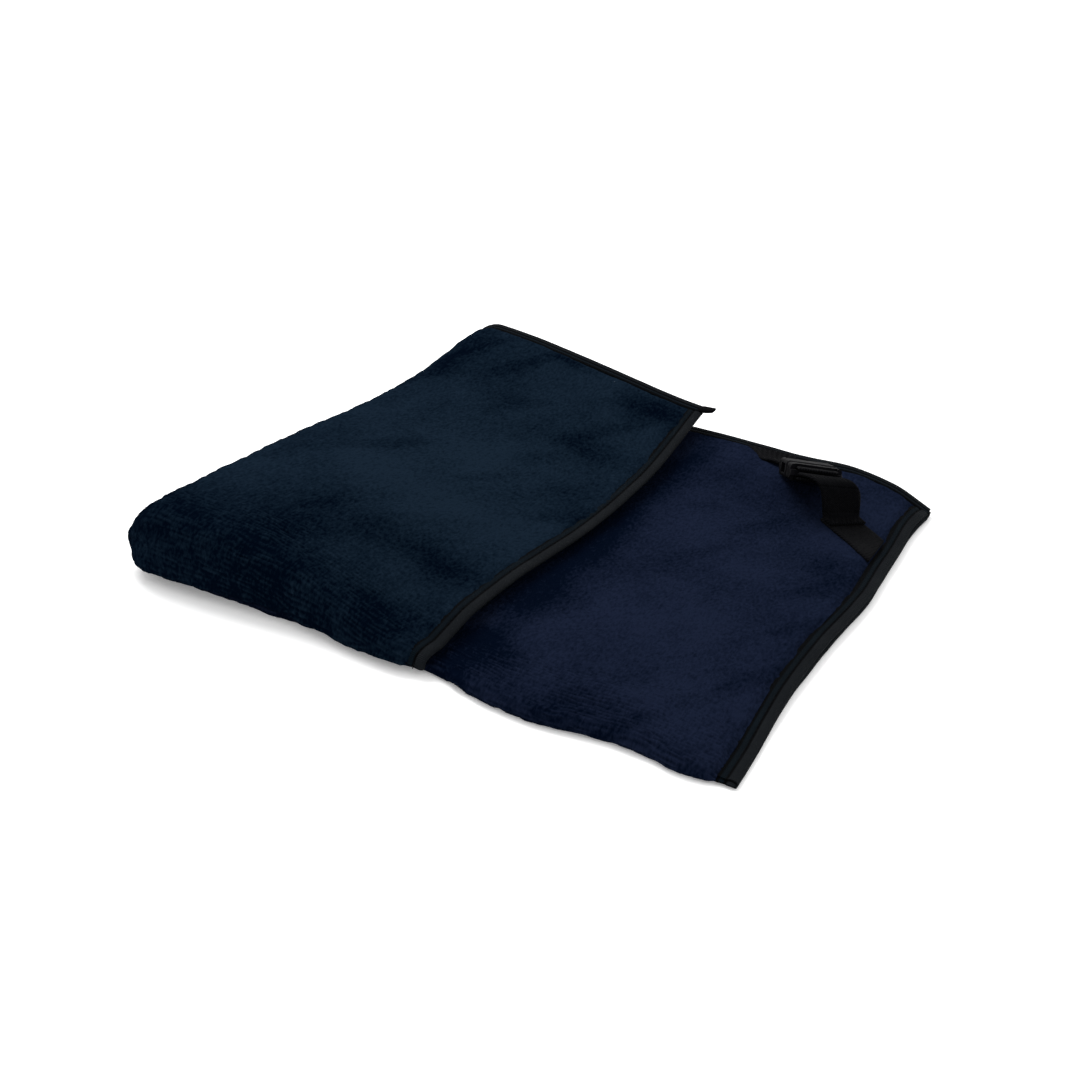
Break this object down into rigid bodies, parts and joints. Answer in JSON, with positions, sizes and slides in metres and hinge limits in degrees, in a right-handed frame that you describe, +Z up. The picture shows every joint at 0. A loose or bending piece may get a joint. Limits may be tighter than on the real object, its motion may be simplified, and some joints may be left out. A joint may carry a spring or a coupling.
{
  "type": "golf towel",
  "caption": "Folded plush golf towel with taped edges, an openable flap, and a corner strap closed by a side-release buckle.",
  "frame": {"origin": "middle of the folded towel's outline, on the surface it rests on", "axes": "+Y runs from the near fold to the bound far edges, +X from the rolled left fold to the bound right edge, +Z up"},
  "size_m": [0.265, 0.3086, 0.032],
  "materials": {
    "navy_plush": "matt ribbed plush pile with a soft sheen",
    "charcoal_tape": "matt woven binding tape",
    "black_webbing": "ribbed woven webbing",
    "black_plastic": "smooth moulded plastic, slightly glossy"
  },
  "bodies": {
    "towel": {"base_lower_sheet": "navy_plush", "base_upper_sheet": "navy_plush", "base_near_fold": "navy_plush", "far_binding_lower": "charcoal_tape", "far_binding_upper": "charcoal_tape", "right_binding_lower": "charcoal_tape", "right_binding_upper": "charcoal_tape", "right_binding_turn": "charcoal_tape", "left_fold_outer": "navy_plush", "left_fold_inner": "navy_plush", "left_fold_near_end": "navy_plush", "left_fold_binding_outer": "charcoal_tape", "left_fold_binding_inner": "charcoal_tape", "strap_a_webbing": "black_webbing", "strap_b_webbing": "black_webbing"},
    "flap": {"flap_lower_sheet": "navy_plush", "flap_upper_sheet": "navy_plush", "flap_near_fold": "navy_plush", "flap_binding_turn": "charcoal_tape", "flap_far_binding_lower": "charcoal_tape", "flap_far_binding_upper": "charcoal_tape", "flap_edge_binding_lower": "charcoal_tape", "flap_edge_binding_upper": "charcoal_tape", "tape_end": "charcoal_tape"},
    "strap": {"buckle_female": "black_plastic", "strap_a_loop": "black_webbing", "strap_b_riser": "black_webbing"},
    "male_half": {"buckle_male": "black_plastic", "strap_b_loop": "black_webbing"},
    "left_prong": {"prong_left": "black_plastic"},
    "right_prong": {"prong_right": "black_plastic"}
  },
  "joints": [
    {"name": "flap_fold", "type": "hinge", "parent": "towel", "child": "flap", "pos_m": [-0.1245, 0, 0.016], "axis": [0, -1, 0], "range_deg": [0, 180], "deforming": ["left_fold_outer", "left_fold_inner", "left_fold_near_end", "left_fold_binding_outer", "left_fold_binding_inner"]},
    {"name": "strap_lift", "type": "hinge", "parent": "towel", "child": "strap", "pos_m": [0.09727, 0.12266, 0.0085], "axis": [-0.7282, 0.6854, 0], "range_deg": [0, 75], "deforming": ["strap_a_webbing", "strap_b_webbing"]},
    {"name": "buckle_release", "type": "slide", "parent": "strap", "child": "male_half", "axis": [0.3868, -0.8688, 0.309], "range_m": [0, 0.03], "deforming": ["prong_left", "prong_right", "strap_b_riser"]},
    {"name": "prong_left_squeeze", "type": "hinge", "parent": "male_half", "child": "left_prong", "pos_m": [0.08443, 0.1134, 0.02191], "axis": [-0.1257, 0.2823, 0.9511], "range_deg": [0, 12]},
    {"name": "prong_right_squeeze", "type": "hinge", "parent": "male_half", "child": "right_prong", "pos_m": [0.07237, 0.10803, 0.02191], "axis": [-0.1257, 0.2823, 0.9511], "range_deg": [-12, 0]}
  ],
  "couplings": [
    {"joint": "prong_right_squeeze", "follows": "prong_left_squeeze", "ratio": -1}
  ]
}
